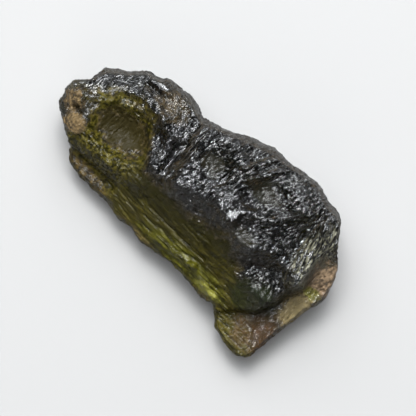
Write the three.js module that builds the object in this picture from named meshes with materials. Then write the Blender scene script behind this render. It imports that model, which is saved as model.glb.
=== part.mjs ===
// Moldavite: a raw, etched piece of green natural glass, one solid.
// Millimetres, +Z up. The long axis lies along X, with the knobbly narrow head at -X and the
// thick broad end at +X. The sculpted side faces +Z, and the stone rests on a small flat spot.
import * as THREE from 'three';
import { mergeVertices } from 'three/addons/utils/BufferGeometryUtils.js';

// Driving dimensions of the whole stone
const LENGTH = 24.1;
const WIDTH = 13.2;
const HEIGHT = 8.4;

// Mesh divisions along and across the stone, and how much finer they are towards its edge
const CELLS_ALONG = 58;
const CELLS_ACROSS = 32;
const EDGE_PACKING = 0.72;
const MERGE_WITHIN = 1e-3;
const LEAST_HALF_WIDTH = 0.42; // marks are drawn no narrower than the cells can show

// Glass look
const GLASS_COLOUR = 0x3a3f1c;
const GLASS_ROUGHNESS = 0.22;

// The four sides of the outline seen from above, each from corner to corner. The head and the
// broad end run from the lower edge to the upper edge, the two long edges from head to broad end.
const HEAD_END = [
  [-8.90, -4.00], [-9.04, -3.53], [-9.70, -3.28], [-10.40, -2.86], [-11.20, -2.30], [-11.75, -1.98],
  [-12.03, -1.01], [-12.11, -0.25], [-11.74, 0.26], [-11.25, 0.80], [-11.10, 1.60], [-11.05, 2.22],
];
const BROAD_END = [
  [10.40, -6.66], [10.90, -6.25], [11.02, -5.30], [11.14, -4.20], [11.29, -2.95], [11.48, -1.90],
  [11.64, -0.80], [11.93, 0.10], [12.00, 0.84], [11.65, 2.10], [11.20, 2.85], [10.34, 3.67],
  [9.55, 4.70],
];
const UPPER_EDGE = [
  [-11.05, 2.22], [-10.62, 2.52], [-9.57, 3.28], [-8.67, 4.08], [-8.00, 4.28], [-7.50, 4.42], [-7.00, 4.82],
  [-5.87, 4.90], [-4.95, 4.95], [-4.20, 4.74], [-3.43, 4.46], [-2.50, 4.62], [-1.20, 4.98], [0.00, 5.68],
  [1.10, 6.02], [1.95, 6.33], [3.42, 6.28], [5.00, 6.48], [6.19, 6.56], [7.41, 6.14], [8.20, 6.12],
  [8.91, 5.70], [9.55, 4.70],
];
const LOWER_EDGE = [
  [-8.90, -4.00], [-8.38, -4.58], [-7.30, -4.88], [-5.80, -4.93], [-4.20, -4.90], [-3.20, -5.26],
  [-1.90, -5.08], [-0.70, -5.36], [0.60, -5.17], [1.80, -5.06], [3.20, -5.00], [4.60, -5.20],
  [5.50, -5.26], [6.40, -5.10], [7.10, -5.62], [7.70, -6.20], [8.60, -6.53], [9.60, -6.66],
  [10.40, -6.66],
];

// The broad planes of the upper side: a point on each, x, y, z, and its rise per mm along X and Y
const UPPER_PLANES = [
  [4.0, 1.5, 8.35, 0.00, 0.02], // crown of the broad body
  [0.0, 1.5, 7.65, 0.24, 0.00], // long back that falls to the waist and the head
  [3.0, 3.4, 7.90, 0.03, -0.42], // upper shoulder
  [3.0, -0.9, 7.95, 0.02, 0.15], // lower shoulder
  [2.0, -1.9, 7.10, 0.00, 1.15], // green flank
  [6.6, -2.9, 6.80, -0.42, 1.05], // turn of the flank towards the broad end
  [8.6, 1.5, 8.00, -0.45, 0.05], // fall to the broad end
  [-10.0, 0.5, 5.85, 0.36, -0.50], // top facet of the head
  [-9.9, -1.4, 5.10, 0.34, 0.46], // lower cheek of the head
  [-6.5, -2.5, 4.90, 0.05, 0.95], // flank below the scoop
];
// The broad planes of the underside, in the same form; the flat resting spot is z = 0
const UNDER_PLANES = [
  [-3.6, 0.0, 0.0, -0.17, 0.00],
  [4.9, 0.0, 0.0, 0.20, 0.00],
  [0.5, 2.7, 0.0, -0.02, 0.38],
  [0.5, -2.3, 0.0, 0.00, -0.50],
  [-4.2, 2.2, 0.0, -0.20, 0.22],
  [5.6, -2.4, 0.0, 0.17, -0.24],
];
// Rounding of the arrises between planes and scoops
const ARRIS = 0.22;

// Scoops, where flakes came away: centre x, y, the height of the bottom, the two radii of
// curvature, and the turn of the first from X in degrees
const UPPER_SCOOPS = [
  [-7.0, -0.45, 4.15, 2.9, 1.75, 24], // smooth scoop of the head
  [-8.1, 1.15, 4.95, 1.9, 0.85, 20], // dark lens below the ridge
  [-3.6, 0.9, 6.25, 2.6, 3.4, 60], // hollow at the left of the body
  [-0.5, 2.5, 6.95, 2.0, 1.5, -20], // deep hollow of the waist side
  [3.9, 3.8, 6.95, 2.6, 1.8, 35], // deep hollow of the crown
  [4.9, 0.6, 7.45, 2.8, 1.6, 35], // hollow right of the bright facets
  [7.9, 2.4, 6.75, 2.2, 3.4, 12], // long hollow before the broad end
  [8.0, -2.2, 5.75, 2.0, 2.4, 30], // dark green hollow above the tip
  [-6.2, 3.7, 5.55, 2.4, 1.0, 0], // hollow behind the crevice
  [1.0, -3.05, 5.30, 9.0, 0.9, 1], // long groove of the flank
  [-4.6, 3.6, 5.65, 1.2, 1.9, 0], // steep facet of the waist
];
const UNDER_SCOOPS = [
  [-7.6, 1.6, 1.75, 4.0, 2.4, 15],
  [-7.4, -2.4, 1.55, 3.4, 2.0, -20],
  [6.9, 2.9, 1.60, 3.2, 2.6, 30],
  [2.2, -4.2, 1.30, 4.8, 1.7, 0],
  [-1.4, 4.2, 1.55, 3.0, 1.9, 8],
  [8.6, -3.9, 1.75, 2.8, 2.4, -40],
  [-11.0, -0.4, 2.35, 1.6, 1.5, 0],
  [10.6, 1.0, 2.20, 1.8, 2.6, 0],
];

// Ridges, lumps, grooves and pits of the upper side: ends x, y and x, y, half width and height.
// A positive height stands up, a negative one goes in; both ends are the same on a lump or pit.
const UPPER_MARKS = [
  [-11.05, -0.85, -11.15, -0.75, 0.75, 0.75], // end knob
  [-9.95, -2.15, -9.85, -2.10, 0.80, 0.70], // cheek knob
  [-11.7, -0.6, -9.0, 0.75, 0.34, 0.30], // ridge below the head's top facet
  [-9.0, 0.9, -7.1, 1.65, 0.34, 0.35], // its run to the crest
  [-10.6, -1.45, -10.3, -1.6, 0.30, -0.45], // cleft between the knobs
  [-7.9, 3.45, -6.7, 3.52, 0.42, -0.50], // crevice
  [-7.8, 3.95, -6.4, 4.10, 0.32, 0.35], // lip above the crevice
  [-7.6, 3.02, -6.3, 2.95, 0.34, 0.30], // lip below the crevice
  [-9.3, -3.05, -6.2, -2.75, 0.55, 0.45], // striated ridge under the scoop
  [-6.2, -2.75, -3.4, -2.35, 0.50, 0.40], // its run to the body
  [-8.6, -3.80, -4.9, -3.75, 0.40, -0.75], // step down to the thin ledge
  [-5.6, 1.3, -4.1, -0.4, 0.45, 0.45], // right border of the scoop
  [-5.2, 2.3, -4.9, 3.0, 0.75, 0.40], // rough hump of the head
  [-3.3, 4.2, -2.7, -1.2, 0.42, -0.40], // groove across the waist
  [-2.2, 4.5, -1.7, -0.6, 0.40, 0.30], // ridge beside it
  [-1.6, 1.0, -0.9, -0.9, 0.75, 0.40], // lobe with a tongue
  [-0.3, 4.6, 2.5, 3.5, 0.50, 0.30], // grey ridged band
  [1.3, 3.7, 2.65, 5.9, 0.30, 0.35], // slanting rib
  [2.2, 3.4, 3.5, 5.6, 0.30, 0.30], // second slanting rib
  [1.6, 0.8, 3.0, 0.5, 0.60, 0.32], // bright boss
  [0.8, -0.9, 2.6, -1.3, 0.35, -0.20], // hollow below the boss
  [5.2, 5.3, 6.6, 4.3, 0.65, 0.35], // grey patch
  [4.6, -0.9, 8.2, 1.9, 0.45, 0.28], // slanting band of the body
  [5.4, -2.0, 8.6, 0.4, 0.42, -0.25], // trough below the band
  [8.5, 4.8, 8.9, 0.8, 0.36, 0.35], // long rib before the broad end
  [7.7, 5.2, 8.0, 1.5, 0.34, -0.30], // its trough
  [0.2, -4.45, 3.4, -4.10, 0.32, 0.40], // light ridge of the flank
  [3.4, -4.10, 6.1, -4.75, 0.32, 0.45], // its run to the notch
  [-2.6, -2.9, 3.6, -3.15, 0.30, -0.20], // dark groove of the flank
  [-3.2, -4.1, 1.8, -3.85, 0.30, 0.14], // flank rib
  [9.4, -0.65, 9.4, -0.65, 0.45, -0.55], // pit
  [9.9, -4.6, 10.4, -5.5, 0.55, 0.30], // lump near the tip
];
const UNDER_MARKS = [
  [-9.4, -0.6, -3.8, 0.3, 0.55, 0.35],
  [4.6, -1.2, 9.4, -0.4, 0.60, 0.35],
  [-3.0, 3.2, 1.8, 4.7, 0.50, 0.30],
  [-5.4, -3.4, 0.4, -4.3, 0.50, 0.30],
  [4.4, 3.6, 7.8, 4.9, 0.55, 0.35],
];

// The step from the body down to the thin rim of the broad end, from the lower edge upwards
const STEP_LINE = [
  [7.2, -5.6], [8.05, -4.45], [9.2, -3.50], [9.50, -2.40], [9.73, -0.85], [10.25, 0.40], [9.85, 1.90],
  [9.4, 3.1], [9.2, 4.9],
];
const STEP_DROP = 3.6;
const STEP_FROM = -0.45; // where the fall starts and ends, measured across the line
const STEP_TO = 0.55;
const STEP_TAPER = 0.8; // how much of the drop is lost towards the line's upper end
const STEP_TAPER_FROM = 0.45; // share along the line where the loss starts
// The least height of the upper side: the thin rim along the flank, the tip and the broad end
const RIM_PLANE = [10.5, -4.5, 2.95, 0.055, 0.16];
// The thin ledge along the lower edge of the head: its top, and the line where it starts
const LEDGE_TOP = 2.55;
const LEDGE_Y = [-4.15, -3.45]; // fully the ledge below the first, none of it above the second
const LEDGE_STARTS = [-9.8, -9.2];
const LEDGE_ENDS = [-5.6, -4.2];

// Rounding from each side to the edge: its width as a share of the thickness, and its limits
const UPPER_ROUND = { share: 0.085, least: 0.22, most: 0.55 };
const UNDER_ROUND = { share: 0.34, least: 0.35, most: 2.40 };
const EDGE_LEVEL = 0.52; // where between underside and top the edge line runs
// The edge line rises and falls, and its rounding widens and narrows, in slow waves
const EDGE_SWAY = 0.12;
const EDGE_SWELL = 0.35;
const WAVE_ALONG = 0.95;
const WAVE_ACROSS = 0.60;
const LEAST_THICKNESS = 0.8;
const FOOT_CLEARANCE = 0.5; // underside height from which its ridges show in full

const ramp = (low, high, value) => THREE.MathUtils.smoothstep(value, low, high);
const planeHeight = ([px, py, pz, riseX, riseY], x, y) => pz + riseX * (x - px) + riseY * (y - py);

// Smooth lowest of some heights: a log of summed exponentials, so arrises stay a little round
function lowest(heights) {
  const least = Math.min(...heights);
  const sum = heights.reduce((total, height) => total + Math.exp((least - height) / ARRIS), 0);
  return least - ARRIS * Math.log(sum);
}

// Height of a bowl: a paraboloid turned by an angle
function bowlHeight([cx, cy, bottom, radiusA, radiusB, turn], x, y) {
  const angle = THREE.MathUtils.degToRad(turn);
  const along = (x - cx) * Math.cos(angle) + (y - cy) * Math.sin(angle);
  const across = (y - cy) * Math.cos(angle) - (x - cx) * Math.sin(angle);
  return bottom + (along * along) / (2 * radiusA) + (across * across) / (2 * radiusB);
}

// Distance from a point to the stretch between two others, and the share along it
function toStretch(x1, y1, x2, y2, x, y) {
  const length2 = (x2 - x1) ** 2 + (y2 - y1) ** 2;
  const share = length2 > 0 ? ((x - x1) * (x2 - x1) + (y - y1) * (y2 - y1)) / length2 : 0;
  const held = THREE.MathUtils.clamp(share, 0, 1);
  return { held, distance: Math.hypot(x - x1 - held * (x2 - x1), y - y1 - held * (y2 - y1)) };
}

// Height that the marks add: a bell across each stretch, lower where it is drawn wider
function markHeight(marks, x, y) {
  let height = 0;
  for (const [x1, y1, x2, y2, halfWidth, rise] of marks) {
    const { distance } = toStretch(x1, y1, x2, y2, x, y);
    const drawn = Math.max(halfWidth, LEAST_HALF_WIDTH);
    height += rise * (halfWidth / drawn) * Math.exp(-((distance / drawn) ** 2));
  }
  return height;
}

// Signed distance past the step line, positive towards the thin rim, and the share along it
function pastStep(x, y) {
  let nearest = Infinity;
  let side = 1;
  let share = 0;
  const last = STEP_LINE.length - 1;
  for (let i = 0; i < last; i++) {
    const [x1, y1] = STEP_LINE[i];
    const [x2, y2] = STEP_LINE[i + 1];
    const { distance, held } = toStretch(x1, y1, x2, y2, x, y);
    if (distance < nearest) {
      nearest = distance;
      side = Math.sign((y2 - y1) * (x - x1) - (x2 - x1) * (y - y1));
      share = (i + held) / last;
    }
  }
  return { distance: side * nearest, share };
}

// Upper side: lowest of the planes and scoops, with the marks, the end step and the thin ledge
function upperHeight(x, y) {
  const planes = UPPER_PLANES.map((plane) => planeHeight(plane, x, y));
  const scoops = UPPER_SCOOPS.map((scoop) => bowlHeight(scoop, x, y));
  let height = lowest([...planes, ...scoops]) + markHeight(UPPER_MARKS, x, y);
  const { distance, share } = pastStep(x, y);
  const drop = STEP_DROP * (1 - STEP_TAPER * ramp(STEP_TAPER_FROM, 1, share));
  height -= drop * ramp(STEP_FROM, STEP_TO, distance);
  const onLedge = ramp(...LEDGE_STARTS, x) * (1 - ramp(...LEDGE_ENDS, x)) * (1 - ramp(...LEDGE_Y, y));
  height = THREE.MathUtils.lerp(height, Math.min(height, LEDGE_TOP), onLedge);
  return -lowest([-height, -planeHeight(RIM_PLANE, x, y)]);
}

// Underside: highest of the planes and upturned scoops, never below the flat resting spot
function underHeight(x, y) {
  const planes = UNDER_PLANES.map((plane) => -planeHeight(plane, x, y));
  const scoops = UNDER_SCOOPS.map(([cx, cy, top, ...rest]) => bowlHeight([cx, cy, -top, ...rest], x, y));
  const height = -lowest([...planes, ...scoops]);
  return Math.max(0, height + markHeight(UNDER_MARKS, x, y) * ramp(0, FOOT_CLEARANCE, height));
}

// One outline side as a smooth curve, divided by its length
function sideCurve(points) {
  return new THREE.SplineCurve(points.map(([x, y]) => new THREE.Vector2(x, y)));
}
const head = sideCurve(HEAD_END);
const broad = sideCurve(BROAD_END);
const upper = sideCurve(UPPER_EDGE);
const lower = sideCurve(LOWER_EDGE);

// Even steps from 0 to 1, drawn together towards both ends
function packedSteps(count) {
  return Array.from({ length: count + 1 }, (_, i) => {
    const even = i / count;
    return even - (EDGE_PACKING * Math.sin(2 * Math.PI * even)) / (2 * Math.PI);
  });
}

// A point inside the outline: the four sides blended, less the blend of the four corners
function insideOutline(u, v) {
  const along = lower.getPointAt(u).multiplyScalar(1 - v).addScaledVector(upper.getPointAt(u), v);
  const across = head.getPointAt(v).multiplyScalar(1 - u).addScaledVector(broad.getPointAt(v), u);
  const low = lower.getPointAt(0).multiplyScalar(1 - u).addScaledVector(lower.getPointAt(1), u);
  const high = upper.getPointAt(0).multiplyScalar(1 - u).addScaledVector(upper.getPointAt(1), u);
  return along.add(across).sub(low.multiplyScalar(1 - v)).sub(high.multiplyScalar(v));
}

// Way in from the edge: the shares along and across times the stone's length and width there,
// joined so that the nearest side counts most
function wayIn(u, v) {
  const length = head.getPointAt(v).distanceTo(broad.getPointAt(v));
  const width = lower.getPointAt(u).distanceTo(upper.getPointAt(u));
  const ways = [u * length, (1 - u) * length, v * width, (1 - v) * width];
  return 1 / Math.hypot(...ways.map((way) => 1 / Math.max(way, MERGE_WITHIN)));
}

// Height of the upper and of the lower skin at a point: each bends round to the edge line
function skinHeights(x, y, fromEdge) {
  const top = upperHeight(x, y);
  const bottom = Math.min(underHeight(x, y), top - LEAST_THICKNESS);
  const wave = Math.sin(WAVE_ALONG * x + WAVE_ACROSS * y);
  const edge = THREE.MathUtils.lerp(bottom, top, EDGE_LEVEL + EDGE_SWAY * wave);
  const rounded = (side, { share, least, most }) => {
    const width = THREE.MathUtils.clamp(share * (1 - EDGE_SWELL * wave) * (top - bottom), least, most);
    const inward = Math.min(fromEdge / width, 1);
    return edge + (side - edge) * Math.sqrt(1 - (1 - inward) ** 2);
  };
  return [rounded(top, UPPER_ROUND), rounded(bottom, UNDER_ROUND)];
}

// The two faces of a cell, split along the diagonal that rises less, so that ridges stay whole
function cellFaces([a, b, c, d], heightOf) {
  const flatter = Math.abs(heightOf(a) - heightOf(c)) <= Math.abs(heightOf(b) - heightOf(d));
  return flatter ? [a, b, c, a, c, d] : [a, b, d, b, c, d];
}

// The closed skin: two grids over the outline, joined along its edge
function stoneGeometry() {
  const stepsAlong = packedSteps(CELLS_ALONG);
  const stepsAcross = packedSteps(CELLS_ACROSS);
  const row = CELLS_ACROSS + 1;
  const count = (CELLS_ALONG + 1) * row;
  const positions = new Float32Array(count * 2 * 3);
  stepsAlong.forEach((u, i) => {
    stepsAcross.forEach((v, j) => {
      const { x, y } = insideOutline(u, v);
      const onEdge = i === 0 || j === 0 || i === CELLS_ALONG || j === CELLS_ACROSS;
      const [top, bottom] = skinHeights(x, y, onEdge ? 0 : wayIn(u, v));
      const place = i * row + j;
      positions.set([x, y, top], place * 3);
      positions.set([x, y, onEdge ? top : bottom], (count + place) * 3);
    });
  });
  const heightOf = (vertex) => positions[vertex * 3 + 2];
  const indices = [];
  for (let i = 0; i < CELLS_ALONG; i++) {
    for (let j = 0; j < CELLS_ACROSS; j++) {
      const a = i * row + j;
      indices.push(...cellFaces([a, a + row, a + row + 1, a + 1], heightOf));
      const low = count + a;
      indices.push(...cellFaces([low, low + 1, low + row + 1, low + row], heightOf));
    }
  }
  const geometry = new THREE.BufferGeometry();
  geometry.setAttribute('position', new THREE.BufferAttribute(positions, 3));
  geometry.setIndex(indices);
  return mergeVertices(geometry, MERGE_WITHIN);
}

// The skin brought to the driving dimensions, with the middle of its foot at the origin
function fitToSize(geometry) {
  geometry.computeBoundingBox();
  const { min, max } = geometry.boundingBox;
  geometry.translate(-(min.x + max.x) / 2, -(min.y + max.y) / 2, -min.z);
  geometry.scale(LENGTH / (max.x - min.x), WIDTH / (max.y - min.y), HEIGHT / (max.z - min.z));
  geometry.computeVertexNormals();
  return geometry;
}

const glass = new THREE.MeshStandardMaterial({
  color: GLASS_COLOUR,
  roughness: GLASS_ROUGHNESS,
  metalness: 0,
});
const moldavite = new THREE.Mesh(fitToSize(stoneGeometry()), glass);
moldavite.name = 'moldavite';

const group = new THREE.Group();
group.add(moldavite);
export default group;
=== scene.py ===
"""A raw moldavite, dressed: etched green glass with fine relief, on a pale studio floor.

The stone's skin is worked out in millimetres in the frame in which its outline is given, then
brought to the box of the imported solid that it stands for. Lengths in the Blender scene are metres.
"""
import enum
import logging
import math
from dataclasses import dataclass, field
from functools import reduce
from typing import Any, Sequence

import bpy
import numpy as np
from mathutils import Matrix, Vector


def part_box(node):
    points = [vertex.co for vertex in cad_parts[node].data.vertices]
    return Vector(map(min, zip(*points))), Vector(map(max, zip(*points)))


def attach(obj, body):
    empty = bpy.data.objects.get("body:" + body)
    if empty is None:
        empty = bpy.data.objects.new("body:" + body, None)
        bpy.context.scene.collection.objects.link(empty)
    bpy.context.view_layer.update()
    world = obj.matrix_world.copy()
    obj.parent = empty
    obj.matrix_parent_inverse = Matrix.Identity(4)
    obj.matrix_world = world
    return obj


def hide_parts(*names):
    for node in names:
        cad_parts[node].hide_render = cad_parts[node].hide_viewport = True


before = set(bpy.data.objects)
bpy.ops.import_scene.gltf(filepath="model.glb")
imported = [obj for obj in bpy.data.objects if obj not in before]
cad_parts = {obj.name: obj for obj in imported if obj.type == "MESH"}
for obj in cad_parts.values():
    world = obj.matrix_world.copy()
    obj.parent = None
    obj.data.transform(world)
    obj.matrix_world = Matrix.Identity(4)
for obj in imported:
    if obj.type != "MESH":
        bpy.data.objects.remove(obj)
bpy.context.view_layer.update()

log = logging.getLogger("moldavite")

MM = 0.001
NODE = "moldavite"
Span = tuple[float, float]
Pairs = tuple[Span, ...]


class Texture(enum.Enum):
    """How the etched skin looks in one region."""

    WRINKLED = "sharp crests with round troughs between them"
    PITTED = "small round scoops that meet in sharp edges"
    RINGED = "fine rings about the middle of the region"


@dataclass(frozen=True)
class Plane:
    """A broad plane of the stone: a point on it and its rise per millimetre along X and Y."""

    x: float
    y: float
    z: float
    rise_x: float
    rise_y: float

    def height(self, x: np.ndarray, y: np.ndarray) -> np.ndarray:
        """Height of the plane over each point."""
        return self.z + self.rise_x * (x - self.x) + self.rise_y * (y - self.y)


@dataclass(frozen=True)
class Scoop:
    """A bowl where a flake came away: its lowest point, two radii of curvature, and its turn in degrees."""

    x: float
    y: float
    z: float
    radius_a: float
    radius_b: float
    turn: float

    def height(self, x: np.ndarray, y: np.ndarray) -> np.ndarray:
        """Height of the bowl over each point: a paraboloid turned about its middle."""
        along, across = turned(x - self.x, y - self.y, self.turn)
        return self.z + along**2 / (2 * self.radius_a) + across**2 / (2 * self.radius_b)


@dataclass(frozen=True)
class Mark:
    """A ridge, groove, lump or pit: the stretch that it follows, its half width and its height."""

    x1: float
    y1: float
    x2: float
    y2: float
    half_width: float
    rise: float

    def height(self, x: np.ndarray, y: np.ndarray) -> np.ndarray:
        """What the mark adds to the height: a bell across its stretch."""
        distance = to_stretch(x, y, (self.x1, self.y1), (self.x2, self.y2))[0]
        return self.rise * np.exp(-((distance / self.half_width) ** 2))


@dataclass(frozen=True)
class Facet:
    """A small flat break that faces the light: its middle, its two half lengths and its turn."""

    x: float
    y: float
    half_long: float
    half_short: float
    turn: float

    def share(self, x: np.ndarray, y: np.ndarray) -> np.ndarray:
        """1 on the facet and 0 off it: an oval whose border is shifted by noise.

        Args:
            x, y: the points, in millimetres.

        Returns:
            The facet's share at each point.
        """
        along, across = turned(x - self.x, y - self.y, self.turn)
        ragged = gradient_noise(4.5 * x, 4.5 * y, np.zeros_like(x), 31)
        way_out = np.hypot(along / self.half_long, across / self.half_short) + 0.9 * ragged
        return 1 - smooth(0.80, 1.15, way_out)

    def cut(self, x: np.ndarray, y: np.ndarray, height: np.ndarray) -> np.ndarray:
        """The height with the facet let in: a tilted plane where it holds.

        Args:
            x, y: the points, in millimetres.
            height: the height of the skin over each point.

        Returns:
            The new height over each point.
        """
        share = self.share(x, y)
        total = share.sum()
        level = (share * height).sum() / total if total > 0 else 0.0
        rise = FACET_RISE_X * (x - self.x) + FACET_RISE_Y * (y - self.y)
        return height + share * (level + rise - height)


@dataclass(frozen=True)
class Grain:
    """The fine relief of one region: its middle, reach, lie in degrees, and the size of its texture."""

    name: str
    x: float
    y: float
    reach_long: float
    reach_short: float
    lie: float
    width: float
    stretch: float
    rise: float
    texture: Texture = Texture.WRINKLED

    def weight(self, x: np.ndarray, y: np.ndarray) -> np.ndarray:
        """How strongly the region holds each point: a bell over an oval that lies as the grain does."""
        along, across = turned(x - self.x, y - self.y, self.lie)
        return np.exp(-3 * (along / self.reach_long) ** 2 - 3 * (across / self.reach_short) ** 2)


# A facet with this rise sends the window's light straight up
FACET_RISE_X = 0.17
FACET_RISE_Y = -0.18
# How much of the fine relief a facet takes away
FACET_CALM = 0.85
# How much of the fine relief's heights shows
RELIEF = 0.72


def smooth(low: float, high: float, value: np.ndarray) -> np.ndarray:
    """A smooth step from 0 at low to 1 at high: 3t² - 2t³."""
    t = np.clip((value - low) / (high - low), 0, 1)
    return t * t * (3 - 2 * t)


def turned(x: np.ndarray, y: np.ndarray, degrees: float) -> tuple[np.ndarray, np.ndarray]:
    """Coordinates along and across a direction that is turned from X by some degrees."""
    c, s = math.cos(math.radians(degrees)), math.sin(math.radians(degrees))
    return x * c + y * s, y * c - x * s


def to_stretch(
    x: np.ndarray, y: np.ndarray, start: Sequence[float], end: Sequence[float]
) -> tuple[np.ndarray, np.ndarray]:
    """Distance from each point to a straight stretch, and the share along it of the nearest point.

    Args:
        x, y: the points.
        start, end: the two ends of the stretch.

    Returns:
        The distances and the shares, as arrays like x.
    """
    dx, dy = end[0] - start[0], end[1] - start[1]
    length2 = dx * dx + dy * dy
    share = ((x - start[0]) * dx + (y - start[1]) * dy) / length2 if length2 else np.zeros_like(x)
    share = np.clip(share, 0, 1)
    return np.hypot(x - start[0] - share * dx, y - start[1] - share * dy), share


def lowest(heights: Sequence[np.ndarray], rounding: float) -> np.ndarray:
    """Smooth lowest of several heights: minus the log of their summed exponentials.

    Args:
        heights: the heights of the surfaces over the same points.
        rounding: how softly they blend where they cross, in millimetres.

    Returns:
        The lowest height over each point.
    """
    stack = np.stack(heights)
    least = stack.min(axis=0)
    return least - rounding * np.log(np.exp((least - stack) / rounding).sum(axis=0))


def scatter(ix: np.ndarray, iy: np.ndarray, iz: np.ndarray, seed: int) -> np.ndarray:
    """A fixed number from 0 to 1 for each lattice point: its whole-number place mixed by products.

    Args:
        ix, iy, iz: the lattice points, as whole numbers.
        seed: a whole number that sets the pattern.

    Returns:
        The numbers, as an array like ix.
    """
    n = (ix * 374761393 + iy * 668265263 + iz * 1442695041 + seed * 1274126177) & 0xFFFFFFFF
    n = ((n ^ (n >> 13)) * 1274126177) & 0xFFFFFFFF
    return ((n ^ (n >> 16)) & 0xFFFFF) / 0xFFFFF


def gradient_noise(x: np.ndarray, y: np.ndarray, z: np.ndarray, seed: int) -> np.ndarray:
    """Gradient noise, about -0.7 to 0.7.

    Each lattice corner has a slope in a fixed random direction. Between the eight corners round a
    point, their heights are blended with smooth weights.

    Args:
        x, y, z: the points, with one lattice cell to a unit.
        seed: a whole number that sets the pattern.

    Returns:
        The noise at each point.
    """
    whole = [np.floor(v).astype(np.int64) for v in (x, y, z)]
    part = [v - w for v, w in zip((x, y, z), whole)]
    ease = [t * t * t * (t * (6 * t - 15) + 10) for t in part]
    total = np.zeros_like(x)
    for corner in np.ndindex(2, 2, 2):
        place = [w + c for w, c in zip(whole, corner)]
        turn = 2 * math.pi * scatter(*place, seed)
        up = 2 * scatter(*place, seed + 7) - 1
        flat = np.sqrt(1 - up * up)
        off = [t - c for t, c in zip(part, corner)]
        slope = off[0] * flat * np.cos(turn) + off[1] * flat * np.sin(turn) + off[2] * up
        weight = np.ones_like(x)
        for e, c in zip(ease, corner):
            weight = weight * (e if c else 1 - e)
        total += weight * slope
    return total


def scooped(x: np.ndarray, y: np.ndarray, seed: int) -> np.ndarray:
    """Small bowls that meet in sharp edges, 0 in a bowl's bottom and about 0.5 on an edge.

    The height is the square of the distance to the nearest of one scattered point in each cell.

    Args:
        x, y: the points, with one lattice cell to a unit.
        seed: a whole number that sets the pattern.

    Returns:
        The height at each point.
    """
    ix, iy = np.floor(x).astype(np.int64), np.floor(y).astype(np.int64)
    layer = np.zeros_like(ix)
    nearest = np.full_like(x, 9.0)
    for dx, dy in np.ndindex(3, 3):
        cx, cy = ix + dx - 1, iy + dy - 1
        px = cx + scatter(cx, cy, layer, seed)
        py = cy + scatter(cx, cy, layer, seed + 3)
        nearest = np.minimum(nearest, (x - px) ** 2 + (y - py) ** 2)
    return nearest


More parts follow.
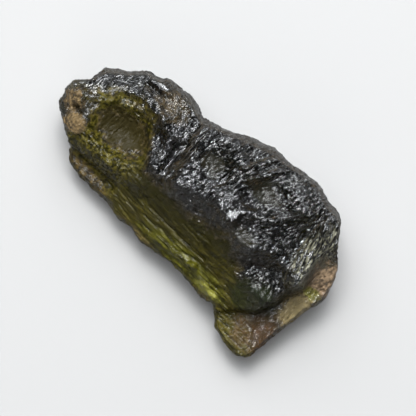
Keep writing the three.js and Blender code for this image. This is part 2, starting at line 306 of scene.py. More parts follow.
@dataclass(frozen=True)
class Outline:
    """The stone's outline seen from above: four sides, each from corner to corner, in millimetres."""

    head_end: Pairs = (
        (-8.90, -4.00), (-9.04, -3.53), (-9.70, -3.28), (-10.40, -2.86), (-11.20, -2.30), (-11.75, -1.98),
        (-12.03, -1.01), (-12.11, -0.25), (-11.74, 0.26), (-11.25, 0.80), (-11.10, 1.60), (-11.05, 2.22),
    )
    broad_end: Pairs = (
        (10.40, -6.66), (10.90, -6.25), (11.02, -5.30), (11.14, -4.20), (11.29, -2.95), (11.48, -1.90),
        (11.64, -0.80), (11.93, 0.10), (12.00, 0.84), (11.65, 2.10), (11.20, 2.85),
        (10.34, 3.67), (9.55, 4.70),
    )
    upper_edge: Pairs = (
        (-11.05, 2.22), (-10.62, 2.52), (-9.57, 3.28), (-8.67, 4.08), (-8.00, 4.28), (-7.50, 4.42),
        (-7.00, 4.82), (-5.87, 4.90), (-4.95, 4.95), (-4.20, 4.74), (-3.43, 4.46), (-2.50, 4.62),
        (-1.20, 4.98), (0.00, 5.68), (1.10, 6.02), (1.95, 6.33), (3.42, 6.28), (5.00, 6.48), (6.19, 6.56),
        (7.41, 6.14), (8.20, 6.12), (8.91, 5.70), (9.55, 4.70),
    )
    lower_edge: Pairs = (
        (-8.90, -4.00), (-8.38, -4.58), (-7.30, -4.88), (-5.80, -4.93), (-4.20, -4.90), (-3.20, -5.26),
        (-1.90, -5.08), (-0.70, -5.36), (0.60, -5.17), (1.80, -5.06), (3.20, -5.00), (4.60, -5.20),
        (5.50, -5.26), (6.40, -5.10), (7.10, -5.62), (7.70, -6.20), (8.60, -6.53), (9.60, -6.66),
        (10.40, -6.66),
    )

    @staticmethod
    def curve(points: Pairs, share: np.ndarray) -> np.ndarray:
        """Points on a smooth curve through the given ones, at shares of its length.

        The curve is a Catmull-Rom spline: each span is the cubic that leaves and meets its ends with
        the slope between their neighbours. It is walked in small steps, and the shares are looked up
        in the summed lengths of those steps.

        Args:
            points: the given points, from corner to corner.
            share: shares of the curve's length, from 0 to 1.

        Returns:
            An array of shape (len(share), 2).
        """
        p = np.array(points)
        steps = np.linspace(0, len(p) - 1, 40 * len(p))
        i = np.minimum(steps.astype(int), len(p) - 2)
        t = (steps - i)[:, None]
        before, start = p[np.maximum(i - 1, 0)], p[i]
        end, after = p[i + 1], p[np.minimum(i + 2, len(p) - 1)]
        v0, v1 = (end - before) / 2, (after - start) / 2
        cubic = 2 * start - 2 * end + v0 + v1
        square = -3 * start + 3 * end - 2 * v0 - v1
        walk = cubic * t**3 + square * t**2 + v0 * t + start
        run = np.concatenate([[0], np.cumsum(np.hypot(*np.diff(walk, axis=0).T))])
        return np.stack([np.interp(share * run[-1], run, walk[:, k]) for k in (0, 1)], axis=1)

    def inside(self, u: np.ndarray, v: np.ndarray) -> tuple[np.ndarray, np.ndarray, np.ndarray]:
        """Points inside the outline, and each point's way in from the edge.

        The point is the blend of the two long edges plus the blend of the two ends, less the blend of
        the corners. The way in joins the shares along and across, times the length and width there, so
        that the nearest side counts most.

        Args:
            u: shares along the stone.
            v: shares across it.

        Returns:
            x, y and the way in, each of shape (len(u), len(v)).
        """
        low, high = self.curve(self.lower_edge, u), self.curve(self.upper_edge, u)
        head, broad = self.curve(self.head_end, v), self.curve(self.broad_end, v)
        u3, v3 = u[:, None, None], v[None, :, None]
        place = (1 - v3) * low[:, None] + v3 * high[:, None] + (1 - u3) * head[None] + u3 * broad[None]
        place = place - (1 - v3) * ((1 - u3) * low[0] + u3 * low[-1])
        place = place - v3 * ((1 - u3) * high[0] + u3 * high[-1])
        length = np.hypot(*(broad - head).T)[None, :]
        width = np.hypot(*(high - low).T)[:, None]
        ways = [u[:, None] * length, (1 - u[:, None]) * length, v[None, :] * width, (1 - v[None, :]) * width]
        way_in = 1 / np.sqrt(sum(1 / np.maximum(way, 1e-6) ** 2 for way in ways))
        return place[..., 0], place[..., 1], way_in


@dataclass
class Stone:
    """The whole stone: one closed skin of natural glass."""

    outline: Outline = field(default_factory=Outline)
    cells_along: int = 412
    cells_across: int = 192
    edge_packing: float = 0.85
    edge_reach: float = 0.035
    arris: float = 0.08

    upper_planes: tuple[Plane, ...] = (
        Plane(4.0, 1.5, 8.35, 0.00, 0.02),
        Plane(0.0, 1.5, 7.65, 0.24, 0.00),
        Plane(3.0, 3.4, 7.90, 0.03, -0.42),
        Plane(3.0, -0.9, 7.95, 0.02, 0.15),
        Plane(2.0, -1.9, 7.10, 0.00, 1.15),
        Plane(6.6, -2.9, 6.80, -0.42, 1.05),
        Plane(8.6, 1.5, 8.00, -0.45, 0.05),
        Plane(-10.0, 0.5, 5.85, 0.36, -0.50),
        Plane(-9.9, -1.4, 5.10, 0.34, 0.46),
        Plane(-6.5, -2.5, 4.90, 0.05, 0.95),
    )
    under_planes: tuple[Plane, ...] = (
        Plane(-3.6, 0.0, 0.0, -0.17, 0.00),
        Plane(4.9, 0.0, 0.0, 0.20, 0.00),
        Plane(0.5, 2.7, 0.0, -0.02, 0.38),
        Plane(0.5, -2.3, 0.0, 0.00, -0.50),
        Plane(-4.2, 2.2, 0.0, -0.20, 0.22),
        Plane(5.6, -2.4, 0.0, 0.17, -0.24),
    )
    rim_plane: Plane = Plane(10.5, -4.5, 2.95, 0.055, 0.16)
    upper_scoops: tuple[Scoop, ...] = (
        Scoop(-7.0, -0.45, 4.15, 2.9, 1.75, 24),
        Scoop(-8.1, 1.15, 4.95, 1.9, 0.85, 20),
        Scoop(-3.6, 0.9, 6.25, 2.6, 3.4, 60),
        Scoop(-0.5, 2.5, 6.95, 2.0, 1.5, -20),
        Scoop(3.9, 3.8, 6.95, 2.6, 1.8, 35),
        Scoop(4.9, 0.6, 7.45, 2.8, 1.6, 35),
        Scoop(7.9, 2.4, 6.75, 2.2, 3.4, 12),
        Scoop(8.0, -2.2, 5.75, 2.0, 2.4, 30),
        Scoop(-6.2, 3.7, 5.55, 2.4, 1.0, 0),
        Scoop(1.0, -3.05, 5.30, 9.0, 0.9, 1),
        Scoop(-4.6, 3.6, 5.65, 1.2, 1.9, 0),
    )
    under_scoops: tuple[Scoop, ...] = (
        Scoop(-7.6, 1.6, 1.75, 4.0, 2.4, 15),
        Scoop(-7.4, -2.4, 1.55, 3.4, 2.0, -20),
        Scoop(6.9, 2.9, 1.60, 3.2, 2.6, 30),
        Scoop(2.2, -4.2, 1.30, 4.8, 1.7, 0),
        Scoop(-1.4, 4.2, 1.55, 3.0, 1.9, 8),
        Scoop(8.6, -3.9, 1.75, 2.8, 2.4, -40),
        Scoop(-11.0, -0.4, 2.35, 1.6, 1.5, 0),
        Scoop(10.6, 1.0, 2.20, 1.8, 2.6, 0),
    )
    upper_marks: tuple[Mark, ...] = (
        Mark(-11.05, -0.85, -11.15, -0.75, 0.75, 0.75),
        Mark(-9.95, -2.15, -9.85, -2.10, 0.80, 0.70),
        Mark(-11.7, -0.6, -9.0, 0.75, 0.34, 0.30),
        Mark(-9.0, 0.9, -7.1, 1.65, 0.34, 0.35),
        Mark(-10.6, -1.45, -10.3, -1.6, 0.30, -0.45),
        Mark(-7.9, 3.45, -6.7, 3.52, 0.20, -0.40),
        Mark(-7.8, 3.95, -6.4, 4.10, 0.32, 0.35),
        Mark(-7.6, 3.02, -6.3, 2.95, 0.34, 0.30),
        Mark(-9.3, -3.05, -6.2, -2.75, 0.55, 0.45),
        Mark(-6.2, -2.75, -3.4, -2.35, 0.50, 0.40),
        Mark(-8.6, -3.80, -4.9, -3.75, 0.40, -0.75),
        Mark(-5.6, 1.3, -4.1, -0.4, 0.45, 0.45),
        Mark(-5.2, 2.3, -4.9, 3.0, 0.75, 0.40),
        Mark(-3.3, 4.2, -2.7, -1.2, 0.42, -0.40),
        Mark(-2.2, 4.5, -1.7, -0.6, 0.40, 0.30),
        Mark(-1.6, 1.0, -0.9, -0.9, 0.75, 0.40),
        Mark(-0.3, 4.6, 2.5, 3.5, 0.50, 0.30),
        Mark(1.3, 3.7, 2.65, 5.9, 0.20, 0.35),
        Mark(2.2, 3.4, 3.5, 5.6, 0.20, 0.30),
        Mark(1.6, 0.8, 3.0, 0.5, 0.60, 0.32),
        Mark(0.8, -0.9, 2.6, -1.3, 0.35, -0.20),
        Mark(5.2, 5.3, 6.6, 4.3, 0.65, 0.35),
        Mark(4.6, -0.9, 8.2, 1.9, 0.45, 0.28),
        Mark(5.4, -2.0, 8.6, 0.4, 0.42, -0.25),
        Mark(8.5, 4.8, 8.9, 0.8, 0.30, 0.35),
        Mark(7.7, 5.2, 8.0, 1.5, 0.34, -0.30),
        Mark(0.2, -4.45, 3.4, -4.10, 0.26, 0.40),
        Mark(3.4, -4.10, 6.1, -4.75, 0.26, 0.45),
        Mark(-2.6, -2.9, 3.6, -3.15, 0.22, -0.20),
        Mark(-3.2, -4.1, 1.8, -3.85, 0.22, 0.14),
        Mark(9.4, -0.65, 9.4, -0.65, 0.40, -0.55),
        Mark(9.9, -4.6, 10.4, -5.5, 0.55, 0.30),
    )
    under_marks: tuple[Mark, ...] = (
        Mark(-9.4, -0.6, -3.8, 0.3, 0.55, 0.35),
        Mark(4.6, -1.2, 9.4, -0.4, 0.60, 0.35),
        Mark(-3.0, 3.2, 1.8, 4.7, 0.50, 0.30),
        Mark(-5.4, -3.4, 0.4, -4.3, 0.50, 0.30),
        Mark(4.4, 3.6, 7.8, 4.9, 0.55, 0.35),
    )
    facets: tuple[Facet, ...] = (
        Facet(-10.4, 0.35, 0.30, 0.20, 10),
        Facet(-9.7, 0.25, 0.22, 0.16, 30),
        Facet(-7.0, 1.35, 0.28, 0.16, 20),
        Facet(-7.2, 0.75, 0.24, 0.12, 10),
        Facet(-6.7, 1.0, 0.20, 0.12, 10),
        Facet(-7.0, 4.12, 0.52, 0.20, 5),
        Facet(-7.0, 3.28, 0.66, 0.10, -6),
        Facet(-4.05, 4.35, 0.42, 0.24, 100),
        Facet(-4.3, 0.35, 0.34, 0.16, -10),
        Facet(-3.3, 2.5, 0.50, 0.26, 100),
        Facet(1.45, 1.25, 0.34, 0.20, 40),
        Facet(1.9, 0.75, 0.42, 0.17, 130),
        Facet(2.95, 0.68, 0.56, 0.44, 60),
        Facet(-1.0, 4.4, 0.5, 0.3, 60),
        Facet(6.2, -2.2, 0.4, 0.16, 20),
    )
    grains: tuple[Grain, ...] = (
        Grain("top facet of the head", -9.2, 2.4, 1.7, 1.5, 150, 0.26, 2.2, 0.05),
        Grain("crest of the head", -7.6, 2.2, 1.1, 0.9, 30, 0.22, 1.5, 0.10),
        Grain("hump of the head", -5.4, 3.1, 1.5, 1.3, 100, 0.22, 1.5, 0.15),
        Grain("scoop", -7.0, -0.4, 1.9, 1.6, 80, 0.30, 3.0, 0.09),
        Grain("end knob", -11.1, -0.85, 0.8, 0.8, 0, 0.22, 1.0, 0.10, Texture.PITTED),
        Grain("cheek knob", -9.9, -2.1, 0.8, 0.8, 0, 0.25, 1.0, 0.05, Texture.RINGED),
        Grain("striated ridge", -6.6, -2.9, 2.6, 0.8, -6, 0.22, 2.4, 0.22),
        Grain("thin ledge", -7.0, -4.4, 2.6, 0.6, 0, 0.37, 3.0, 0.05),
        Grain("side of the body", -3.9, 1.4, 1.0, 1.2, 120, 0.27, 2.0, 0.13),
        Grain("waist", -2.6, 3.0, 2.4, 1.1, 88, 0.20, 5.0, 0.17),
        Grain("waist foot", -2.7, -1.2, 1.2, 0.9, 70, 0.27, 3.0, 0.12),
        Grain("lobe", -1.2, 0.3, 1.4, 1.1, 76, 0.20, 3.0, 0.17),
        Grain("south of the body", 1.8, -1.0, 2.4, 0.9, 18, 0.22, 2.6, 0.17),
        Grain("upper band", 1.4, 4.7, 2.0, 1.6, 74, 0.20, 5.0, 0.20),
        Grain("crown hollows", 3.4, 2.8, 1.5, 1.1, 68, 0.24, 3.0, 0.12),
        Grain("boss", 1.9, 0.5, 1.2, 0.9, 70, 0.22, 2.6, 0.19),
        Grain("grey patch", 5.7, 4.8, 1.6, 1.3, 58, 0.20, 2.0, 0.19),
        Grain("middle of the body", 5.6, 0.6, 2.2, 1.6, 64, 0.20, 3.0, 0.20),
        Grain("foot of the body", 5.6, -1.6, 1.6, 0.8, 36, 0.20, 2.4, 0.18),
        Grain("right of the body", 8.6, 3.0, 2.4, 1.2, 102, 0.22, 6.0, 0.17),
        Grain("step wall", 10.0, -2.0, 2.4, 0.9, 75, 0.25, 3.0, 0.14),
        Grain("green hollow", 7.8, -2.6, 1.3, 1.1, 30, 0.26, 1.6, 0.13),
        Grain("flank", 1.4, -3.7, 5.5, 1.5, -2, 0.19, 9.0, 0.24),
        Grain("head flank", -3.4, -3.7, 2.2, 1.1, -4, 0.20, 6.0, 0.22),
        Grain("tip", 9.6, -5.2, 1.6, 1.3, 60, 0.30, 1.4, 0.08),
        Grain("thin rim", 11.0, 0.5, 3.2, 0.9, 80, 0.30, 3.0, 0.09),
    )
    step_line: Pairs = (
        (7.2, -5.6), (8.05, -4.45), (9.2, -3.50), (9.50, -2.40), (9.73, -0.85), (10.25, 0.40), (9.85, 1.90),
        (9.4, 3.1), (9.2, 4.9),
    )
    step_drop: float = 3.6
    step_from: float = -0.45
    step_to: float = 0.55
    step_taper: float = 0.8
    step_taper_from: float = 0.45
    ledge_top: float = 2.55
    ledge_y: tuple[float, float] = (-4.15, -3.45)
    ledge_starts: tuple[float, float] = (-9.8, -9.2)
    ledge_ends: tuple[float, float] = (-5.6, -4.2)
    upper_round: tuple[float, float, float] = (0.085, 0.22, 0.55)
    under_round: tuple[float, float, float] = (0.34, 0.35, 2.40)
    edge_level: float = 0.52
    edge_sway: float = 0.12
    edge_swell: float = 0.35
    wave_along: float = 0.95
    wave_across: float = 0.60
    least_thickness: float = 0.8
    foot_clearance: float = 0.5
    # Cells of noise to a millimetre on the level and upright, and how far each stands out
    wall_noises: tuple[tuple[float, float, float], ...] = (
        (0.8, 0.8, 0.28), (1.7, 1.1, 0.22), (3.6, 2.2, 0.16), (6.0, 3.6, 0.09),
    )
    gouge_turn: float = 50.0
    gouge_depth: float = 0.10
    gouges_start_x: Span = (-4.5, -3.0)
    gouges_start_y: Span = (-2.4, -1.4)
    wall_to_top: Span = (0.05, 0.35)
    wall_foot: Span = (0.0, 0.6)

    def past_step(self, x: np.ndarray, y: np.ndarray) -> tuple[np.ndarray, np.ndarray]:
        """Signed distance past the step line, positive towards the thin rim, and the share along it.

        Args:
            x, y: the points, in millimetres.

        Returns:
            The two values for each point.
        """
        nearest, share = np.full_like(x, np.inf), np.zeros_like(x)
        last = len(self.step_line) - 1
        for i, (start, end) in enumerate(zip(self.step_line, self.step_line[1:])):
            distance, held = to_stretch(x, y, start, end)
            side = np.sign((end[1] - start[1]) * (x - start[0]) - (end[0] - start[0]) * (y - start[1]))
            closer = distance < np.abs(nearest)
            nearest = np.where(closer, side * distance, nearest)
            share = np.where(closer, (i + held) / last, share)
        return nearest, share

    def upper_height(self, x: np.ndarray, y: np.ndarray) -> np.ndarray:
        """The upper side: lowest of planes and scoops, plus the marks, less the step, with the ledge.

        Args:
            x, y: the points, in millimetres.

        Returns:
            The height over each point.
        """
        surfaces = [part.height(x, y) for part in (*self.upper_planes, *self.upper_scoops)]
        height = lowest(surfaces, self.arris) + sum(mark.height(x, y) for mark in self.upper_marks)
        distance, share = self.past_step(x, y)
        drop = self.step_drop * (1 - self.step_taper * smooth(self.step_taper_from, 1, share))
        height = height - drop * smooth(self.step_from, self.step_to, distance)
        on_ledge = smooth(*self.ledge_starts, x) * (1 - smooth(*self.ledge_ends, x))
        on_ledge = on_ledge * (1 - smooth(*self.ledge_y, y))
        height = height + on_ledge * (np.minimum(height, self.ledge_top) - height)
        return -lowest([-height, -self.rim_plane.height(x, y)], self.arris)

    def under_height(self, x: np.ndarray, y: np.ndarray) -> np.ndarray:
        """The underside: highest of planes and upturned scoops, cut flat where the stone rests.

        Args:
            x, y: the points, in millimetres.

        Returns:
            The height over each point.
        """
        bowls = [Scoop(s.x, s.y, -s.z, s.radius_a, s.radius_b, s.turn) for s in self.under_scoops]
        surfaces = [-plane.height(x, y) for plane in self.under_planes]
        surfaces += [bowl.height(x, y) for bowl in bowls]
        height = -lowest(surfaces, self.arris)
        marks = sum(mark.height(x, y) for mark in self.under_marks)
        return np.maximum(0, height + marks * smooth(0, self.foot_clearance, height))

    def skins(self, x: np.ndarray, y: np.ndarray, way_in: np.ndarray) -> tuple[np.ndarray, np.ndarray]:
        """Heights of the upper and lower skin: a quarter ellipse carries each to the edge line.

        The edge line lies at a share of the thickness that sways in slow waves, and the ellipse is
        wider where the stone is thicker.

        Args:
            x, y: the points.
            way_in: each point's way in from the outline.

        Returns:
            The heights of the two skins.
        """
        top = self.upper_height(x, y)
        for facet in self.facets:
            top = facet.cut(x, y, top)
        bottom = np.minimum(self.under_height(x, y), top - self.least_thickness)
        wave = np.sin(self.wave_along * x + self.wave_across * y)
        edge = bottom + (self.edge_level + self.edge_sway * wave) * (top - bottom)
        skins = []
        for side, (share, least, most) in ((top, self.upper_round), (bottom, self.under_round)):
            width = np.clip(share * (1 - self.edge_swell * wave) * (top - bottom), least, most)
            skins.append(edge + (side - edge) * np.sqrt(1 - (1 - np.minimum(way_in / width, 1)) ** 2))
        return skins[0], skins[1]

    def shares(self, count: int) -> np.ndarray:
        """Shares from 0 to 1, even in the middle and drawn together at both ends.

        The spacing is 1 less a falling exponential of the way from either end, and the shares are its
        sum, brought to end at 1.

        Args:
            count: how many cells the shares bound.

        Returns:
            The shares, one more than the cells.
        """
        t = np.linspace(0, 1, count + 1)
        reach, packed = self.edge_reach, self.edge_packing * self.edge_reach
        run = t - packed * (1 - np.exp(-t / reach)) - packed * (np.exp((t - 1) / reach) - np.exp(-1 / reach))
        return run / run[-1]

    def closed_skin(self) -> tuple[np.ndarray, list[list[int]]]:
        """The closed skin before its fine relief.

        A grid of points lies over the outline on the upper skin. The lower skin has every second point
        both ways. It shares all points of the edge, so its border faces have five or six corners.

        Returns:
            The points in millimetres and the faces.
        """
        x, y, way_in = self.outline.inside(self.shares(self.cells_along), self.shares(self.cells_across))
        way_in[[0, -1], :] = 0
        way_in[:, [0, -1]] = 0
        top, bottom = self.skins(x, y, way_in)
        over = np.arange(x.size).reshape(x.shape)
        under = over.copy()
        inner = np.zeros(x.shape, bool)
        inner[2:-1:2, 2:-1:2] = True
        under[inner] = x.size + np.arange(inner.sum())
        points = np.concatenate([
            np.stack([x, y, top], axis=-1).reshape(-1, 3),
            np.stack([x[inner], y[inner], bottom[inner]], axis=-1),
        ])
        upper = np.stack([over[:-1, :-1], over[1:, :-1], over[1:, 1:], over[:-1, 1:]], axis=-1).reshape(-1, 4)
        ring = np.stack([
            under[:-2:2, :-2:2], under[:-2:2, 1::2], under[:-2:2, 2::2], under[1::2, 2::2],
            under[2::2, 2::2], under[2::2, 1::2], under[2::2, :-2:2], under[1::2, :-2:2],
        ], axis=-1)
        kept = np.zeros(ring.shape, bool)
        kept[..., ::2] = True
        kept[0, :, 1] = kept[:, -1, 3] = kept[-1, :, 5] = kept[:, 0, 7] = True
        border = kept[..., 1::2].any(axis=-1)
        lower = ring[~border][:, ::2].tolist()
        rim = [corners[held].tolist() for corners, held in zip(ring[border], kept[border])]
        return points, upper.tolist() + lower + rim

    def grain_relief(self, x: np.ndarray, y: np.ndarray) -> np.ndarray:
        """Fine relief of the upper side: each region's texture, blended by how strongly it holds a point.

        Args:
            x, y: the points, in millimetres.

        Returns:
            The relief at each point, in millimetres.
        """
        total, held = np.zeros_like(x), np.full_like(x, 2e-5)
        for seed, grain in enumerate(self.grains):
            weight = grain.weight(x, y)
            near = weight > 1e-6
            along, across = turned(x[near] - grain.x, y[near] - grain.y, grain.lie)
            a, b = along / (grain.width * grain.stretch), across / grain.width
            if grain.texture is Texture.RINGED:
                shape = 0.5 * np.sin(2 * math.pi * np.hypot(along, across) / grain.width)
            elif grain.texture is Texture.PITTED:
                shape = 1.6 * scooped(a * 0.6, b * 0.6, 60 + seed) - 0.4
            else:
                warp = gradient_noise(a * 0.5, b * 0.5, np.zeros_like(a), 40 + seed)
                broad = gradient_noise(a * 0.5, b * 0.5 + 0.6 * warp, np.full_like(a, 3.1), seed)
                fine = gradient_noise(a, b + warp, np.full_like(a, 7.7), 20 + seed)
                finest = gradient_noise(1.7 * a, 1.7 * b + warp, np.full_like(a, 5.3), 80 + seed)
                shape = 1.0 - 1.1 * np.abs(broad) - 1.8 * np.abs(fine) - 1.5 * np.abs(finest)
            total[near] += weight[near] * RELIEF * grain.rise * shape
            held[near] += weight[near]
        return total / held

    def wall_relief(self, points: np.ndarray) -> np.ndarray:
        """Relief of the walls and the underside: crested noise in space at four sizes.

        Args:
            points: the points, one to a row.

        Returns:
            The relief at each point, in millimetres.
        """
        x, y, z = points.T
        total = np.zeros_like(x)
        for seed, (level, upright, rise) in enumerate(self.wall_noises, 101):
            noise = gradient_noise(x * level, y * level, z * upright, seed)
            total += rise * (0.3 - np.abs(noise))
        return total

    def relief(self, points: np.ndarray, normals: np.ndarray) -> np.ndarray:
        """How far each point moves out along its normal.

        Args:
            points: the points, one to a row.
            normals: the normal at each point.

        Returns:
            The distances, in millimetres.
        """
        x, y, z = points.T
        up = smooth(*self.wall_to_top, normals[:, 2])
        on_body = smooth(*self.gouges_start_x, x) * smooth(*self.gouges_start_y, y)
        along, across = turned(x, y, self.gouge_turn)
        gouges = self.gouge_depth * (scooped(along * 0.55, across * 1.2, 5) - 0.25) * on_body
        facets = np.max([facet.share(x, y) for facet in self.facets], axis=0)
        above = (self.grain_relief(x, y) + gouges) * (1 - FACET_CALM * facets)
        beside = self.wall_relief(points) * smooth(*self.wall_foot, z)
        return up * above + (1 - up) * beside

    def build(self) -> bpy.types.Object:
        """The finished mesh: the skin with its relief, brought to the box of the solid, in metres.

        Returns:
            The object, linked to the scene.
        """
        points, faces = self.closed_skin()
        mesh = bpy.data.meshes.new("stone_skin")
        mesh.from_pydata(points, [], faces)
        normals = np.empty(points.size, np.float32)
        mesh.vertex_normals.foreach_get("vector", normals)
        normals = normals.reshape(-1, 3)
        points = points + normals * self.relief(points, normals)[:, None]
        points[:, 2] = np.maximum(points[:, 2], 0)
        low, high = (np.array(corner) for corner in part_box(NODE))
        least, most = points.min(axis=0), points.max(axis=0)
        points = low + (points - least) * (high - low) / (most - least)
        mesh.vertices.foreach_set("co", points.astype(np.float32).ravel())
        mesh.polygons.foreach_set("use_smooth", np.ones(len(faces), bool))
        mesh.update()
        piece = bpy.data.objects.new("stone_skin", mesh)
        bpy.context.scene.collection.objects.link(piece)
        return piece


Number = float | int
# A patch's share falls from 1 to 0 between these parts of its reach
PATCH_EDGE: Span = (0.60, 1.10)


class Term:
    """A shader socket that Python's arithmetic works on; each operation adds a Math node."""

    def __init__(self, nodes: "Nodes", socket: bpy.types.NodeSocket) -> None:
        """Wrap one output socket of the given tree."""
        self.nodes = nodes
        self.socket = socket

    def _math(self, operation: str, *values: "Term | Number") -> "Term":
        """A Math node on up to three values."""
        return self.nodes.add("ShaderNodeMath", {"operation": operation}, dict(enumerate(values)))

    def __add__(self, other: "Term | Number") -> "Term":
        """The sum."""
        return self._math("ADD", self, other)

    def __sub__(self, other: "Term | Number") -> "Term":
        """The difference."""
        return self._math("SUBTRACT", self, other)

    def __rsub__(self, other: Number) -> "Term":
        """A number less this."""
        return self._math("SUBTRACT", other, self)

    def __mul__(self, other: "Term | Number") -> "Term":
        """The product."""
        return self._math("MULTIPLY", self, other)

    def largest(self, other: "Term | Number") -> "Term":
        """The larger of the two."""
        return self._math("MAXIMUM", self, other)

    __radd__ = __add__
    __rmul__ = __mul__


def union(*shares: Term) -> Term:
    """The largest of several shares."""
    return reduce(Term.largest, shares)


class Nodes:
    """Makes the nodes of one material."""

    def __init__(self, material: bpy.types.Material) -> None:
        """Start with an empty tree.

        Args:
            material: the material that the nodes are for.
        """
        material.use_nodes = True
        self.tree = material.node_tree
        self.tree.nodes.clear()

    def add(
        self, kind: str, settings: dict[str, Any] | None = None, values: dict[Any, Any] | None = None,
        output: str | int = 0,
    ) -> Term:
        """A node of any type.

        Args:
            kind: the node's type name.
            settings: properties that are set first, such as an operation.
            values: socket names or numbers with a value or a Term to link.
            output: the output that the returned Term stands for.

        Returns:
            The chosen output.
        """
        node = self.tree.nodes.new(kind)
        for name, value in (settings or {}).items():
            setattr(node, name, value)
        for name, value in (values or {}).items():
            if isinstance(value, Term):
                self.tree.links.new(value.socket, node.inputs[name])
            else:
                node.inputs[name].default_value = value
        return Term(self, node.outputs[output])

    def show(self, surface: Term, inside: Term | None = None) -> None:
        """Link the finished surface, and what fills the inside, to the material's output.

        Args:
            surface: the shader of the skin.
            inside: the shader of the volume, if it has one.
        """
        out = self.tree.nodes.new("ShaderNodeOutputMaterial")
        self.tree.links.new(surface.socket, out.inputs["Surface"])
        if inside is not None:
            self.tree.links.new(inside.socket, out.inputs["Volume"])

    def blend(self, factor: Term | Number, first: Any, second: Any) -> Term:
        """A colour between two, by a factor."""
        return self.add("ShaderNodeMix", {"data_type": "RGBA"}, {0: factor, 6: first, 7: second}, output=2)

    def lean_between(self, factor: Term, first: Term, second: Term) -> Term:
        """A vector between two, by a factor."""
        return self.add("ShaderNodeMix", {"data_type": "VECTOR"}, {0: factor, 4: first, 5: second}, output=1)

    def band(self, value: Term, low: float, high: float) -> Term:
        """A smooth step of a value from 0 at low to 1 at high."""
        values = {0: value, 1: low, 2: high, 3: 0.0, 4: 1.0}
        return self.add("ShaderNodeMapRange", {"interpolation_type": "SMOOTHSTEP"}, values)

    def noise(self, place: Term, scale: float, detail: float, roughness: float = 0.5) -> Term:
        """Noise from 0 to 1 at a place, with so many features to a metre."""
        values = {"Vector": place, "Scale": scale, "Detail": detail, "Roughness": roughness}
        return self.add("ShaderNodeTexNoise", None, values)

    def millimetres(self, place: Term) -> tuple[Term, Term, Term]:
        """The three coordinates of a place in millimetres."""
        parts = self.add("ShaderNodeSeparateXYZ", None, {0: place})
        return tuple(Term(self, parts.socket.node.outputs[axis]) * (1 / MM) for axis in "XYZ")

    def height_of(self, direction: Term) -> Term:
        """The Z part of a direction."""
        return self.add("ShaderNodeSeparateXYZ", None, {0: direction}, output="Z")

    def vectors(self, operation: str, first: Term, second: Any) -> Term:
        """A Vector Math node on a vector and a second vector, or a number to scale by."""
        other = "Scale" if operation == "SCALE" else 1
        return self.add("ShaderNodeVectorMath", {"operation": operation}, {0: first, other: second})

    def drawn_out(self, place: Term, lie: "Lie") -> Term:
        """A place counted in cells that are drawn out along a direction.

        Args:
            place: the place in the object's frame.
            lie: the direction and the size of the cells.

        Returns:
            The place, for a texture of scale 1.
        """
        size = (MM * lie.long, MM * lie.short, MM * lie.short)
        values = {"Vector": place, "Rotation": (0.0, 0.0, math.radians(lie.turn)), "Scale": size}
        return self.add("ShaderNodeMapping", {"vector_type": "TEXTURE"}, values)

    def streaks(self, place: Term, lie: "Lie") -> Term:
        """Noise drawn out along a direction."""
        return self.noise(self.drawn_out(place, lie), 1.0, 3.0, 0.6)

    def chips(self, place: Term, lie: "Lie") -> Term:
        """A random tilt, the same all over each cell of a pattern drawn out along a direction.

        Args:
            place: the place in the object's frame.
            lie: the direction and the size of the cells.

        Returns:
            The tilt, with each part from -0.5 to 0.5.
        """
        values = {"Vector": self.drawn_out(place, lie), "Scale": 1.0}
        tilt = self.add("ShaderNodeTexVoronoi", None, values, output="Color")
        return self.vectors("SUBTRACT", tilt, (0.5, 0.5, 0.5))

    def near(self, place: Term, patch: "Patch", noise: Term) -> Term:
        """1 in the middle of an oval patch and 0 outside it, its border shifted by a noise.

        Args:
            place: the place in the object's frame.
            patch: the patch.
            noise: the noise, from -0.5 to 0.5.

        Returns:
            The patch's share.
        """
        scale = [1 / (MM * reach) for reach in patch.reach]
        shift = [-centre * MM * s for centre, s in zip(patch.centre, scale)]
        spot = self.add("ShaderNodeMapping", None, {"Vector": place, "Location": shift, "Scale": scale})
        length = self.add("ShaderNodeVectorMath", {"operation": "LENGTH"}, {0: spot}, output="Value")
        return 1 - self.band(length + noise * patch.ragged, *PATCH_EDGE)


Colour = tuple[float, float, float, float]


@dataclass(frozen=True)
class Lie:
    """How a pattern lies: its turn from X in degrees, and its cells' length and width in millimetres."""

    turn: float
    long: float
    short: float


@dataclass(frozen=True)
class Patch:
    """An oval patch with a finish of its own: its middle and reach in millimetres, and how ragged it is."""

    centre: tuple[float, float, float]
    reach: tuple[float, float, float]
    ragged: float = 1.0


